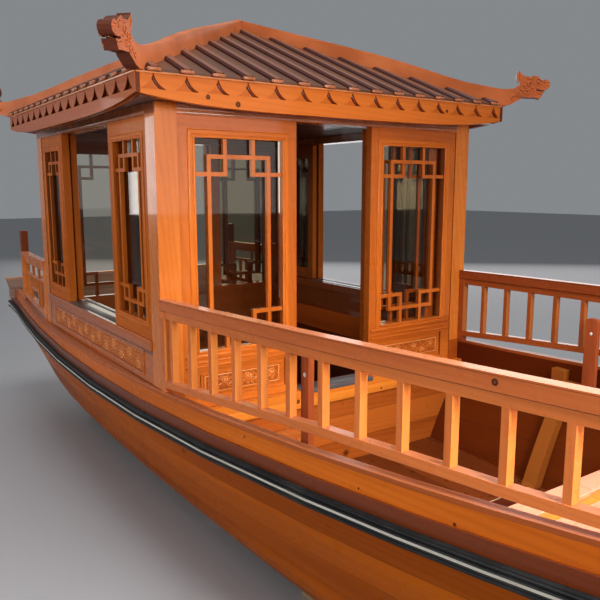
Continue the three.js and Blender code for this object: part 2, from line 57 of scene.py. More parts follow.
# %% Camera
EYE = Vector((3.0578, -2.1819, 1.8399))
TURN, DIP = 2.5399, 0.1644
lens = bpy.data.cameras.new("bow_view")
lens.sensor_width, lens.lens = 36.0, 40.83
lens.clip_start, lens.clip_end = 0.05, 80.0
camera = bpy.data.objects.new("bow_view", lens)
camera.location = EYE
camera.rotation_euler = (math.pi / 2 - DIP, 0.0, TURN - math.pi / 2)
scene.collection.objects.link(camera)
scene.camera = camera
print("camera looks along", round(math.degrees(TURN), 1), "degrees")

# %% [markdown]
# ## Shader sums in Python
#
# A material is a graph of nodes, and long graphs are hard to read when every link is a line of code. This
# small class wraps one output socket, so that `1 - mask` or `grain * 0.4` adds the Math node and links it
# by itself.


# %% A socket that does arithmetic
class Strand:
    """One output socket of a node tree; sums on it add Math nodes."""

    def __init__(self, tree, socket=None):
        self.tree, self.socket = tree, socket

    def node(self, kind, settings=None, inputs=None, out=0):
        """Adds a node, sets its settings first and its sockets second, and wraps the output asked for."""
        made = self.tree.nodes.new(kind)
        for key, value in (settings or {}).items():
            setattr(made, key, value)
        for key, value in (inputs or {}).items():
            if isinstance(value, Strand):
                self.tree.links.new(value.socket, made.inputs[key])
            else:
                made.inputs[key].default_value = value
        return Strand(self.tree, made.outputs[out])

    def sum(self, operation, *values):
        """A Math node on the values, in their order."""
        return self.node("ShaderNodeMath", {"operation": operation}, dict(enumerate(values)))

    def __add__(self, other):
        return self.sum("ADD", self, other)

    __radd__ = __add__

    def __mul__(self, other):
        return self.sum("MULTIPLY", self, other)

    __rmul__ = __mul__

    def __sub__(self, other):
        return self.sum("SUBTRACT", self, other)

    def __rsub__(self, other):
        return self.sum("SUBTRACT", other, self)

    def __truediv__(self, other):
        return self.sum("DIVIDE", self, other)

    def __pow__(self, other):
        return self.sum("POWER", self, other)

    def __gt__(self, other):
        return self.sum("GREATER_THAN", self, other)

    def __lt__(self, other):
        return self.sum("LESS_THAN", self, other)

    def abs(self):
        return self.sum("ABSOLUTE", self)

    def floor(self):
        return self.sum("FLOOR", self)

    def sine(self):
        return self.sum("SINE", self)

    def clamp(self):
        return self.node("ShaderNodeClamp", None, {"Value": self})

    def rise(self, low, high):
        """0 below low, 1 above high, and a smooth slope between them."""
        return self.node("ShaderNodeMapRange", {"interpolation_type": "SMOOTHSTEP"},
                         {"Value": self, "From Min": low, "From Max": high})

    def noise(self, scale, detail, rough=0.5):
        """Smooth noise here: a larger scale makes smaller lumps, and detail adds finer ones."""
        return self.node("ShaderNodeTexNoise", None,
                         {"Vector": self, "Scale": scale, "Detail": detail, "Roughness": rough}, 0)

    def tint(self, first, second):
        """Blends two colours, with this value as the share of the second."""
        return self.node("ShaderNodeMix", {"data_type": "RGBA"}, {0: self, 6: first, 7: second}, 2)

    def choose(self, first, second):
        """Blends two vectors, with this value as the share of the second."""
        return self.node("ShaderNodeMix", {"data_type": "VECTOR"}, {0: self, 4: first, 5: second}, 1)

    def vector(self, operation, *values, out=0):
        """A Vector Math node on this vector and the values after it."""
        inputs = dict(enumerate((self, *values)))
        return self.node("ShaderNodeVectorMath", {"operation": operation}, inputs, out)

    def parts(self):
        """The x, y and z of this vector."""
        split = self.node("ShaderNodeSeparateXYZ", None, {0: self})
        return [Strand(self.tree, socket) for socket in split.socket.node.outputs]


print("sums on a Strand are Math nodes")

# %% [markdown]
# ## Materials from strands
#
# Two helpers open a new material, with Blender's general shader in it, and fill the shader's sockets by name.


# %% Materials
def new_material(name):
    """An empty material: its tree wrapped as a Strand, and its shader node."""
    made = bpy.data.materials.new(name)
    made.use_nodes = True
    return made, Strand(made.node_tree), made.node_tree.nodes["Principled BSDF"]


def feed(strand, shader, **sockets):
    """Fills the shader's sockets, with links where a Strand is given and plain values elsewhere."""
    for key, value in sockets.items():
        socket = shader.inputs[key.replace("_", " ")]
        if isinstance(value, Strand):
            strand.tree.links.new(value.socket, socket)
        else:
            socket.default_value = value


print("Coat_Weight fills the socket Coat Weight")

# %% [markdown]
# ## Varnished pine
#
# Most of the boat is pine under thick glossy varnish: warm orange sapwood, darker rings that run the length
# of each board, fine fibres and a few knots. The grain must follow each board, so a finish names the axis
# of the grain and the places where boards run another way. All patterns read Object coordinates, in metres.

# %% Values for the grain
ALONG = {"X": (0.07, 1.0, 1.0), "Y": (1.0, 0.07, 1.0), "Z": (1.0, 1.0, 0.07)}
RINGS_A_METRE, RING_BEND, KNOTS_A_METRE = 30.0, 9.0, 3.1
TURNED_BY, BOARD_SHIFT = (3.1, 1.7, 2.3), (7.0, 5.0, 3.0)
BOARD_JOINT, EASED_EDGE = 0.005, 0.0025


def rgb(red, green, blue):
    """A colour given as linear light."""
    return red, green, blue, 1.0


def darker(colour, share):
    """The same colour with only a share of its light."""
    return rgb(*(part * share for part in colour[:3]))


def inside(value, low, high):
    """1 between low and high, and 0 elsewhere."""
    return (value > low) * (value < high)


print("grain scales:", ALONG)


# %% Grain and knots
def grain(lie, line, fibre):
    """How deep the colour is, with its rings and fibres. Rings are a sine of the distance across the grain,
    bent by noise; a slow change of tone and fine fibres are added to them."""
    x, y, z = lie.parts()
    turns = (x + y * 0.83 + z * 1.21) * RINGS_A_METRE + lie.noise(3.2, 3.0) * RING_BEND
    rings = ((turns * math.tau).sine() * 0.5 + 0.5) ** 2.2
    slow = lie.noise(6.0, 2.0).rise(0.28, 0.75)
    thin = lie.noise(210.0, 2.0, 0.7)
    return rings * line + slow * 0.7 + (thin - 0.5) * fibre, rings, thin


def knotted(colour, dark, place, thin, centre, radius):
    """The colour with one knot in it: a dark core in a dark ring, both a little ragged."""
    away = place.vector("DISTANCE", centre, out=1) + thin * 0.004
    halo = away.rise(radius * 0.55, radius) * (1.0 - away.rise(radius, radius * 1.5))
    core = 1.0 - away.rise(radius * 0.5, radius * 1.2)
    return (core * 0.75 + halo * 0.8).clamp().tint(colour, dark)


print("rings to a metre:", RINGS_A_METRE)


# %% Pine finish
def pine(name, pale, deep, axis="X", zones=(), boards=None, gloss=0.12, line=0.16, fibre=0.16, coat=0.45,
         index=1.25, knots=0.017, shade=None, bent=None, spots=()):
    """Colour = pale to deep by the grain, with small knots where a cell noise is low. zones=(axis, mask of
    x y z) turns the grain where the mask is 1. boards=(axis, width in m) gives each board its own tone and
    a dark joint. shade(x, y, z) returns pairs of a share and a colour: stains of the wood, and painted light
    and shade. bent(x, y, z) straightens y and z. spots are knots (x, y, z, radius) at places of their own."""
    made, strand, shader = new_material(name)
    place = strand.node("ShaderNodeTexCoord", out="Object")
    x, y, z = place.parts()
    axes = {"X": x, "Y": y, "Z": z}
    if bent:
        axes["Y"], axes["Z"] = bent(x, y, z)
        place = strand.node("ShaderNodeCombineXYZ", None, {0: x, 1: axes["Y"], 2: axes["Z"]})
    lie = place.vector("MULTIPLY", ALONG[axis])
    for other, mask in zones:
        turned = place.vector("MULTIPLY", ALONG[other]).vector("ADD", TURNED_BY)
        lie = mask(x, y, z).choose(lie, turned)
    if boards:
        side, width = boards
        row = axes[side] / width
        tone = strand.node("ShaderNodeTexWhiteNoise", {"noise_dimensions": "1D"}, {"W": row.floor() + 0.5}, 0)
        tones = strand.node("ShaderNodeCombineXYZ", None, {0: tone, 1: tone, 2: tone})
        lie = tones.vector("MULTIPLY_ADD", BOARD_SHIFT, lie)
        joint = 1.0 - (1.0 - (row - row.floor() - 0.5).abs() * 2.0).rise(0.0, BOARD_JOINT / width)
    share, rings, thin = grain(lie, line, fibre)
    if boards:
        share = share + (tone - 0.5) * 0.5
    colour = share.clamp().tint(pale, deep)
    if knots:
        near = strand.node("ShaderNodeTexVoronoi", None, {"Vector": place, "Scale": KNOTS_A_METRE}, 0)
        eye = 1.0 - near.rise(knots * 1.6, knots * 3.1 + 0.012)
        colour = (eye * 0.85).tint(colour, darker(deep, 0.22))
    if boards:
        colour = (joint * 0.75).tint(colour, darker(deep, 0.16))
    if shade:
        # Stains of the wood, and painted light and shade, laid over the grain.
        for amount, stain_or_shade in shade(x, y, z):
            colour = amount.tint(colour, rgb(*stain_or_shade))
    for *centre, radius in spots:
        colour = knotted(colour, darker(deep, 0.06), place, thin, centre, radius)
    smear = place.noise(9.0, 4.0)
    height = rings * 0.4 + thin * 0.5 + smear * 1.5
    if boards:
        height = height - joint * 6.0
    edge = strand.node("ShaderNodeBevel", {"samples": 4}, {"Radius": EASED_EDGE})
    normal = strand.node("ShaderNodeBump", None,
                         {"Strength": 0.15, "Distance": 0.002, "Height": height, "Normal": edge})
    feed(strand, shader, Base_Color=colour, Roughness=smear * 0.25 + (gloss + 0.08), Normal=normal,
         IOR=index, Coat_Weight=coat, Coat_Roughness=gloss * 0.6, Coat_IOR=1.45)
    return made


# %% [markdown]
# ## Stains, and painted light and shade
#
# The boat is one wood, but it is not one colour: the posts and the fore face are the palest, the hull and the
# rubbing plank are darker, the inside gets a painted shade, and the roof is a dull brown. So a stain, or a
# painted light or shade, is a share and a colour, and the share comes from a point's place or the way its
# face looks.

# %% Helpers for stains and painted shade
MIDDLE = -0.7945
finishes = {}


def wood(name, pale, deep, **more):
    """Makes a pine finish and keeps it under its name."""
    finishes[name] = pine(f"{name}_pine", rgb(*pale), rgb(*deep), **more)


def facing(x):
    """The three parts of the direction in which the surface faces."""
    return x.node("ShaderNodeTexCoord", out="Normal").parts()


def painted_indoor_shade(x, y, z):
    """Painted shade inside the cabin: brown where the surface turns towards the middle of the cabin."""
    east, north, _ = facing(x)
    return [((east * (x - MIDDLE) + north * y < -0.6) * 0.66, (0.085, 0.026, 0.012))]


def painted_top_light(share):
    """Painted light on upper faces, which are made paler than the sides."""
    return lambda x, y, z: [((facing(x)[2] > 0.7) * share, (0.60, 0.22, 0.10))]


print("middle of the cabin:", MIDDLE)

# %% [markdown]
# ## Planks of the hull
#
# The planks bend with the hull, and a straight grain would run across them. So two parabolas, the same as the
# hull's own edge, straighten the coordinates first. The inside of the hull gets a dark red painted shade.

# %% Woods of the hull
HULL_MIDDLE, HULL_BEND = 0.836, 0.02227
SHEER_LOW, SHEER_RISE = 0.781, 0.01691


def unbent(x, y, z):
    """y gains the bend times the square of the way from the hull's middle, and z loses the rise times the
    square of the way from its lowest point."""
    return y.abs() + (x + HULL_MIDDLE) ** 2.0 * HULL_BEND, z - (x + SHEER_LOW) ** 2.0 * SHEER_RISE


def painted_inboard_shade(x, y, z):
    """Painted shade on the inside of the hull: where the surface turns towards the middle line."""
    return [((facing(x)[1] * y < 0.0) * 0.84, (0.085, 0.013, 0.004))]


TOE_KNOTS = [(1.879, 1.030, 0.8194, 0.006), (0.905, 1.030, 0.8559, 0.006), (1.520, 1.030, 0.8266, 0.005),
             (-0.42, 1.030, 0.841, 0.006), (-1.3, 1.030, 0.835, 0.005)]
wood("hull", (0.48, 0.104, 0.004), (0.25, 0.044, 0.002), boards=("Z", 0.148), gloss=0.1, coat=0.04,
     index=1.06, shade=painted_inboard_shade, bent=unbent)
wood("gunwale", (0.45, 0.11, 0.026), (0.27, 0.055, 0.012), gloss=0.1, coat=0.08, index=1.15, bent=unbent,
     shade=painted_top_light(0.45))
wood("toe", (0.66, 0.15, 0.010), (0.36, 0.062, 0.004), gloss=0.09, coat=0.12, index=1.12, bent=unbent,
     knots=0, spots=TOE_KNOTS, line=0.2, fibre=0.26)
wood("rub", (0.19, 0.036, 0.007), (0.10, 0.018, 0.004), gloss=0.1, coat=0.15, bent=unbent)
print("hull finishes:", *finishes)

# %% [markdown]
# ## Decks, floors and frames
#
# Floors and decks are laid in boards, so these finishes name the axis and the width of a board. The fore
# platform is new pale wood, made pinker by a painted sheen, the cockpit floor is dark red, and the cradle is
# raw timber without varnish.

# %% Woods inside the hull
RIB_END, STEP_TREAD, SKID_TOP = 1.08, 0.836, 0.052


def honey_rib(x, y, z):
    """The rib of a side frame is left its own honey colour; the post beside it is red."""
    return [((x < RIB_END) * 1.0, (0.33, 0.095, 0.014))]


wood("bulkhead", (0.50, 0.12, 0.016), (0.27, 0.05, 0.006), axis="Y", boards=("Z", 0.145), gloss=0.1, coat=0.3,
     knots=0.028, line=0.2, shade=painted_indoor_shade)
wood("floor", (0.34, 0.095, 0.02), (0.17, 0.04, 0.008), boards=("Y", 0.12), gloss=0.14)
wood("cockpit", (0.21, 0.045, 0.010), (0.11, 0.022, 0.005), boards=("Y", 0.105), gloss=0.1, coat=0.3)
wood("frame", (0.42, 0.095, 0.028), (0.22, 0.042, 0.011), axis="Z", gloss=0.2, coat=0.15, index=1.15,
     shade=honey_rib)
wood("red", (0.17, 0.032, 0.012), (0.075, 0.014, 0.006), axis="Z")
# The deck's pale pink is partly the new wood's colour and partly a painted sheen.
wood("deck", (0.86, 0.31, 0.17), (0.72, 0.235, 0.115), axis="Y", boards=("X", 0.21), gloss=0.09, coat=0.35,
     index=1.3)
wood("stern", (0.30, 0.19, 0.14), (0.20, 0.11, 0.08), axis="Y", boards=("Z", 0.062), gloss=0.2)
wood("seat", (0.66, 0.2, 0.04), (0.38, 0.09, 0.014), gloss=0.07,
     zones=[("Y", lambda x, y, z: z < STEP_TREAD)])
wood("timber", (0.36, 0.24, 0.14), (0.2, 0.12, 0.06), axis="Y", zones=[("X", lambda x, y, z: z < SKID_TOP)],
     gloss=0.55, coat=0.0)
wood("honey", (0.80, 0.25, 0.03), (0.55, 0.14, 0.012), axis="Y", gloss=0.08,
     spots=[(0.245, -0.262, 0.738, 0.011), (0.245, 0.31, 0.715, 0.007)])
print("finishes so far:", len(finishes))

# %% [markdown]
# ## The cabin's woods
#
# Posts stand, header beams lie, and in a framed panel the rails run across while the stiles run up. So the
# grain turns where a mask says so: above the foot of the header, and over and under the glass.

# %% Posts, sills and walls
HEADER, POST_FACE, DOOR_FACE = 2.157, 0.884, 0.21
WINDOW, SILL_TOP = (-1.232, -0.406), 1.1284


def framed(low, high, across):
    """Grain runs across below the low edge and above the high edge of the glass."""
    return [(across, lambda x, y, z: (z < low) + (z > high))]


def post_painted_shade(x, y, z):
    """Posts and header: painted shade, brown inside the cabin and dark red where the header lies in the
    shadow of the side eaves.
    """
    return painted_indoor_shade(x, y, z) + [((z > HEADER) * (y.abs() > 0.985) * 0.65, (0.13, 0.02, 0.007))]


def sill_wear_and_shade(x, y, z):
    """The apron: painted shade, brown inside the cabin and dark under the sill, and grey on the sill's top
    where the sashes run.
    """
    # under: a painted shadow of the sill's lip on the apron, deeper towards the fore end
    under = inside(z, 1.056, 1.0795) * x.rise(-1.2, -0.2)
    track = (z > SILL_TOP) * inside(x, *WINDOW) * 1.0
    return painted_indoor_shade(x, y, z) + [(under * 0.65, (0.10, 0.018, 0.006)), (track, (0.09, 0.075, 0.075))]


wood("post", (0.78, 0.225, 0.032), (0.47, 0.105, 0.011), axis="Z", gloss=0.07, shade=post_painted_shade, zones=[
    ("X", lambda x, y, z: (z > HEADER) * inside(x, -1.70, 0.10)),
    ("Y", lambda x, y, z: (z > HEADER) * inside(y, -POST_FACE, POST_FACE))])
wood("sill", (0.42, 0.085, 0.010), (0.24, 0.04, 0.005), gloss=0.08, coat=0.15, index=1.12,
     zones=[("Y", lambda x, y, z: inside(y, -POST_FACE, POST_FACE))],
     shade=lambda x, y, z: [((x > DOOR_FACE) * 0.7, (0.74, 0.21, 0.022))])
wood("end_wall", (0.62, 0.155, 0.018), (0.37, 0.07, 0.006), axis="Z", gloss=0.08, shade=painted_indoor_shade,
     zones=framed(1.069, 2.062, "Y"))
wood("side_wall", (0.60, 0.15, 0.02), (0.33, 0.066, 0.007), axis="Z", gloss=0.08, coat=0.05, index=1.07,
     shade=painted_indoor_shade, zones=framed(1.21, 2.062, "X"))
wood("apron", (0.52, 0.125, 0.018), (0.29, 0.058, 0.007), gloss=0.09, shade=sill_wear_and_shade)
print("finishes so far:", len(finishes))

# %% [markdown]
# ## The roof's woods
#
# The slopes are brown boards with battens; each batten has a painted highlight on its top and painted shade
# along its flanks. The eave boards are cut in lobes, with painted shade in the pockets between them. The
# corner heads are darker on their edge faces.

# %% Roof slopes
BATTEN = {"end": ("Y", 0.1488, 0.0), "side": ("X", 0.1412, 0.5)}


def batten_painted_light(kind):
    """Painted light by the way from a batten's middle: a highlight on its top, shade on its flanks (darkest
    to starboard) and in the trough.
    """
    side, pitch, offset = BATTEN[kind]

    def stain_or_shade(x, y, z):
        row = (y if side == "Y" else x - MIDDLE) / pitch + (0.5 + offset)
        off = (row - row.floor() - 0.5) * pitch
        way = off.abs()
        flank = way.rise(0.0145, 0.0175) * (1.0 - way.rise(0.031, 0.036))
        return [(way.rise(0.030, 0.038) * 0.35, (0.07, 0.032, 0.018)),
                (flank * (0.6 + (off < 0.0) * 0.36), (0.055, 0.010, 0.006)),
                ((1.0 - way.rise(0.012, 0.017)) * 0.6, (0.30, 0.11, 0.06))]

    return stain_or_shade


for name, axis, kind in (("roof", "X", "end"), ("roof_side", "Y", "side")):
    wood(name, (0.2, 0.077, 0.036), (0.115, 0.041, 0.019), axis=axis, gloss=0.3, coat=0.2, knots=0.012,
         shade=batten_painted_light(kind))
wood("soffit", (0.11, 0.03, 0.014), (0.055, 0.014, 0.007), boards=("Y", 0.11), gloss=0.2)
print("batten pitches:", BATTEN)

# %% Eaves, hips and heads
EAVE_SIDE, EAVE_CORNER, POCKET = 1.119, 1.115, (1.100, 1.1195)
FASCIA_KNOTS = [(0.341, -0.795, 2.221, 0.010), (0.341, -0.648, 2.200, 0.012), (0.341, 0.661, 2.251, 0.009),
                (0.341, -0.005, 2.278, 0.006)]


def eaves(x, y, z):
    """The side boards of the eaves are darker and redder than the end boards, partly a redder tone and partly
    painted shade; the pockets between lobes get a painted shade.
    """
    return [((y.abs() > EAVE_SIDE) * 0.5, (0.27, 0.05, 0.018)),
            (inside(y.abs(), *POCKET) * 0.9, (0.09, 0.014, 0.003)),
            (inside((x - MIDDLE).abs(), 1.114, 1.124) * 0.2, (0.34, 0.07, 0.008))]


def darker_head_edges(share):
    """Darkens the heads' edge faces, which are not square to the cheeks of the hip that they end."""

    def stain_or_shade(x, y, z):
        east, north, _ = facing(x)
        way = (((x - MIDDLE) * y) > 0.0) * 2.0 - 1.0
        edge = (north * 0.711 - east * way * 0.703).abs() < 0.5
        beyond = (y.abs() > 1.105) * ((x - MIDDLE).abs() > EAVE_CORNER)
        return [(edge * beyond * share, (0.07, 0.018, 0.013))]

    return stain_or_shade


wood("hip", (0.68, 0.19, 0.062), (0.42, 0.095, 0.024), gloss=0.2, coat=0.1, index=1.15, line=0.05, fibre=0.08,
     shade=darker_head_edges(0.9))
wood("mane", (0.72, 0.20, 0.062), (0.46, 0.105, 0.026), gloss=0.15, coat=0.2, index=1.2, line=0.05,
     fibre=0.08, shade=darker_head_edges(0.4))
wood("fascia", (0.70, 0.18, 0.026), (0.43, 0.085, 0.008), axis="Y", gloss=0.1, coat=0.15, index=1.12,
     zones=[("X", lambda x, y, z: inside(x, -1.89, 0.30))], spots=FASCIA_KNOTS, shade=eaves)
print("finishes so far:", len(finishes))

# %% [markdown]
# ## The railings
#
# In a railing the bars lie along the boat and the balusters stand. The two lines between them slope and
# sag, so the mask for the balusters follows both. A thin line of painted shade marks the groove between
# the handrail and the board under it.

# %% Railings
RAIL_SLOPE, HANDRAIL, GROOVE, TOP_GROOVE = 0.0227, 1.2884, (1.2844, 1.2884), (1.3292, 1.3318)
RAIL_KNOTS = [(1.977, 1.025, 1.314, 0.0095), (2.16, 1.0, 1.303, 0.006), (1.02, 1.047, 1.307, 0.007)]


def upright(x, y, z):
    """1 between the bars: under the top bar's straight line and over the low bar's sagging one."""
    from_door = x - 0.209
    run = from_door / 1.991
    top, low = 1.257 + from_door * RAIL_SLOPE, 0.957 + run * 0.239 - run * run * 0.099
    return (x > DOOR_FACE) * (z < top) * (z > low) + (x < -1.7) * inside(z, 0.96, 1.296)


def rail_stains_light_and_shade(x, y, z):
    """Painted light on top faces and on the fore faces of the balusters, painted shade lines at the grooves
    and a dark red painted shade to port; the handrail is redder, and the stern posts are dark red."""
    height = z - x * RAIL_SLOPE
    cockpit = x > DOOR_FACE
    groove_shade = inside(height, *GROOVE) + inside(height, *TOP_GROOVE) * 0.7
    return [((height > HANDRAIL) * cockpit * 0.42, (0.34, 0.07, 0.022)),
            (groove_shade * cockpit * 0.85, (0.10, 0.018, 0.005)),
            *painted_top_light(0.66)(x, y, z),
            (upright(x, y, z).clamp() * (facing(x)[0] > 0.7) * 0.42, (0.95, 0.36, 0.07)),
            ((y > 0.0) * 0.5, (0.14, 0.022, 0.006)),
            ((x < -2.61) * (z > 1.337) * 0.85, (0.10, 0.018, 0.006))]


wood("rail", (0.72, 0.19, 0.042), (0.44, 0.098, 0.018), gloss=0.08, coat=0.2, spots=RAIL_KNOTS,
     zones=[("Z", upright)], shade=rail_stains_light_and_shade,
     bent=lambda x, y, z: (y.abs() + (x + HULL_MIDDLE) ** 2.0 * HULL_BEND, z - x * RAIL_SLOPE))
print("knots on the handrail:", len(RAIL_KNOTS))

# %% [markdown]
# ## Trims and carving
#
# Trims are the same pine, paler and free of knots. Carving gets a painted highlight on its ridges and a
# painted shade in its ground, so its finish reads how high each point stands, which the mesh keeps for it.

# %% Woods of the trims
def carving_painted_light(x, y, z):
    """Painted shade in the carved ground and a painted highlight on the ridges, by the height that a carving
    keeps as an attribute.
    """
    height = x.node("ShaderNodeAttribute", {"attribute_name": "relief"}, None, 2)
    return [((1.0 - height.rise(0.1, 0.5)) * 0.62, (0.16, 0.03, 0.006)),
            (height.rise(0.66, 0.95) * 0.8, (1.0, 0.50, 0.18))]


wood("end_trim", (0.70, 0.18, 0.02), (0.43, 0.085, 0.008), axis="Z", gloss=0.14, knots=0, coat=0.2, index=1.2,
     zones=framed(1.069, 2.062, "Y"))
wood("side_trim", (0.66, 0.17, 0.028), (0.38, 0.08, 0.01), axis="Z", gloss=0.08, knots=0, coat=0.06,
     index=1.08, zones=framed(1.21, 2.062, "X"))
wood("carving", (0.60, 0.15, 0.02), (0.36, 0.07, 0.007), gloss=0.14, knots=0, coat=0.15, index=1.2,
     shade=carving_painted_light)
wood("apron_trim", (0.56, 0.14, 0.024), (0.33, 0.07, 0.01), gloss=0.09, knots=0)
# The header beads' pale pink is partly their own colour and partly a painted sheen.
wood("header_trim", (0.52, 0.22, 0.13), (0.34, 0.12, 0.06), gloss=0.06, knots=0)
wood("batten_end", (0.56, 0.20, 0.09), (0.36, 0.11, 0.04), gloss=0.08, knots=0)
wood("lip", (0.74, 0.27, 0.09), (0.5, 0.15, 0.04), gloss=0.1, knots=0)
print("wood finishes:", len(finishes))

# %% [markdown]
# ## Rubber, strip and glass
#
# The fender is black rubber with a dull, slightly dusty skin, and a cream plastic strip is let into it. The
# panes are thin clear glass, too thin to bend the light: a mix of a clear shader and a mirror, and more
# mirror at a slant, is enough.


# %% Rubber, plastic and metal
def moulded(name, colour, dust, rough, index):
    """A moulded skin: its colour, paler where a broad noise is high, with a fine pebble in its height."""
    made, strand, shader = new_material(name)
    place = strand.node("ShaderNodeTexCoord", out="Object")
    cloud, pebble = place.noise(6.0, 5.0), place.noise(420.0, 1.0)
    bump = strand.node("ShaderNodeBump", None, {"Strength": 0.1, "Distance": 0.001, "Height": pebble})
    feed(strand, shader, Base_Color=cloud.rise(0.4, 0.75).tint(colour, dust), Roughness=cloud * 0.2 + rough,
         IOR=index, Normal=bump)
    return made


for name, colour, dust, rough, index in (
        ("rubber", (0.010, 0.011, 0.012), (0.026, 0.026, 0.025), 0.35, 1.28),
        ("strip", (0.62, 0.58, 0.5), (0.5, 0.45, 0.37), 0.35, 1.5),
        ("metal_strip", (0.09, 0.075, 0.075), (0.14, 0.115, 0.115), 0.3, 1.3),
        ("putty", (0.72, 0.45, 0.28), (0.6, 0.36, 0.22), 0.4, 1.5),
        ("steel", (0.62, 0.6, 0.57), (0.45, 0.42, 0.4), 0.25, 1.5)):
    finishes[name] = moulded(name, rgb(*colour), rgb(*dust), rough, index)
print("finishes so far:", len(finishes))


# %% Glass
def window_glass(name):
    """Thin glass: clear seen square on, and a mirror at a slant."""
    made, strand, shader = new_material(name)
    tree = made.node_tree
    tree.nodes.remove(shader)
    slant = strand.node("ShaderNodeLayerWeight", None, {"Blend": 0.25}, 0)
    wave = strand.node("ShaderNodeTexCoord", out="Object").noise(3.0, 1.0)
    ripple = strand.node("ShaderNodeBump", None, {"Strength": 0.05, "Distance": 0.01, "Height": wave})
    clear = strand.node("ShaderNodeBsdfTransparent", None, {"Color": rgb(0.86, 0.83, 0.76)})
    mirror = strand.node("ShaderNodeBsdfGlossy", None, {"Roughness": 0.03, "Normal": ripple})
    mixed = strand.node("ShaderNodeMixShader", None, {0: slant * 0.85, 1: clear, 2: mirror})
    tree.links.new(mixed.socket, tree.nodes["Material Output"].inputs["Surface"])
    return made


finishes["glass"] = window_glass("window_glass")
print("all finishes:", len(finishes))

# %% [markdown]
# ## Each solid gets its finish
#
# The names of the solids say what they are, so a short table of name beginnings is enough. The first
# beginning that fits a name wins. The last entries are the finishes' own names, as in hull, gunwale or hip.

# %% Dress the solids
WEAR = [("fender_strip", "strip"), ("fender", "rubber"), ("bearers", "timber"), ("cabin_floor", "floor"),
        ("cockpit_floor", "cockpit"), ("cockpit_steps", "seat"), ("cockpit_rail", "rail"),
        ("stern_rail", "rail"), ("fore_platform", "deck"), ("bow_deck", "deck"), ("side_frame", "frame"),
        ("side_", "side_wall"), ("sash", "side_wall"), ("cabin_frame", "post"), ("wall", "end_wall"),
        ("door", "end_wall"), ("roof_slope_fore", "roof"), ("roof_slope_aft", "roof"),
        ("roof_slope", "roof_side"), ("eave_fascia", "fascia"), *((kind, kind) for kind in finishes)]
for name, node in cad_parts.items():
    kind = "glass" if name.endswith("glass") else next(kind for start, kind in WEAR if name.startswith(start))
    node.data.materials.clear()
    node.data.materials.append(finishes[kind])
print("solids dressed:", len(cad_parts))

# %% [markdown]
# ## Shapes as rings of points
#
# Mouldings, strips, bolts and carved boards are all a ring of points that changes as it goes along. They
# could be cubes and cylinders with modifiers. Here numpy works out all the points of a shape at once, and
# one helper turns a list of such tubes into a mesh that rides on a body of the boat.


# %% Tubes into meshes
def piece(name, tubes, finish, body="boat", smooth=40.0):
    """One mesh from tubes (rings, points, 3) in mm. Each ring is joined to the next; the end rings are
    filled, or joined to each other where the tube is a loop."""
    corners, faces, start = [], [], 0
    for rings, loop in tubes:
        count = rings.shape[0] * rings.shape[1]
        index = start + np.arange(count).reshape(rings.shape[:2])
        rows = np.vstack([index, index[:1]]) if loop else index
        rows = np.hstack([rows, rows[:, :1]])
        here, there = rows[:-1], rows[1:]
        cells = np.stack([here[:, :-1], there[:, :-1], there[:, 1:], here[:, 1:]], -1)
        faces += cells.reshape(-1, 4).tolist()
        if not loop:
            faces += [index[0].tolist(), index[-1][::-1].tolist()]
        corners.append(rings.reshape(-1, 3))
        start += count
    mesh = bpy.data.meshes.new(name)
    mesh.from_pydata((np.concatenate(corners) * 0.001).tolist(), [], faces)
    shell = bmesh.new()
    shell.from_mesh(mesh)
    bmesh.ops.recalc_face_normals(shell, faces=shell.faces)
    shell.to_mesh(mesh)
    shell.free()
    mesh.shade_smooth()
    mesh.set_sharp_from_angle(angle=math.radians(smooth))
    mesh.materials.append(finishes[finish])
    made = bpy.data.objects.new(name, mesh)
    scene.collection.objects.link(made)
    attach(made, body)
    return made


print("every small piece becomes one mesh")


# %% Profiles along paths
def carry(profile, path, up=(0, 0, 1), swell=None):
    """Rings of a profile (side, top) carried along a path: side is the path's direction crossed with up,
    and top is square to both; swell scales each ring."""
    path, up = np.asarray(path, float), np.asarray(up, float)
    ahead = np.gradient(path, axis=0)
    ahead /= np.linalg.norm(ahead, axis=1)[:, None]
    side = np.cross(ahead, up)
    side /= np.linalg.norm(side, axis=1)[:, None]
    top = np.cross(side, ahead)
    swell = np.ones(len(path)) if swell is None else np.asarray(swell, float)
    spread = side[:, None] * profile[None, :, :1] + top[:, None] * profile[None, :, 1:]
    return path[:, None] + swell[:, None, None] * spread


def rounded(width, height, radius):
    """A rectangle with round corners: three points on each quarter circle."""
    turn = np.radians([0, 45, 90])
    corner = np.stack([np.cos(turn), np.sin(turn)], -1) * radius
    turns, signs = [(1, 0), (0, 1), (-1, 0), (0, -1)], [(1, 1), (-1, 1), (-1, -1), (1, -1)]
    parts = []
    for (cosine, sine), (right, above) in zip(turns, signs):
        side = corner[:, 0] * cosine - corner[:, 1] * sine + right * (width / 2 - radius)
        top = corner[:, 0] * sine + corner[:, 1] * cosine + above * (height / 2 - radius)
        parts.append(np.stack([side, top], -1))
    return np.concatenate(parts)


def round_bar(path, radius, ends, up=(0, 0, 1)):
    """A round bar of eight sides along a path; its end rings are drawn in to a share of the radius."""
    turn = np.linspace(0, 2 * np.pi, 8, endpoint=False)
    swell = np.ones(len(path))
    swell[[0, -1]] = ends
    return carry(np.stack([np.cos(turn), np.sin(turn)], -1) * radius, path, up, swell), False


print("points round a bar:", len(rounded(9, 9, 2)))


# %% Straight bars
def strip(start, end, width, height, radius=2.0):
    """A straight bar from start to end with rounded edges, eased at both ends by the same radius."""
    start, end = np.asarray(start, float), np.asarray(end, float)
    ease = (end - start) / np.linalg.norm(end - start) * radius
    small = 1 - 2 * radius / max(width, height)
    path = [start, start + ease, end - ease, end]
    return carry(rounded(width, height, radius), path, swell=[small, 1, 1, small]), False


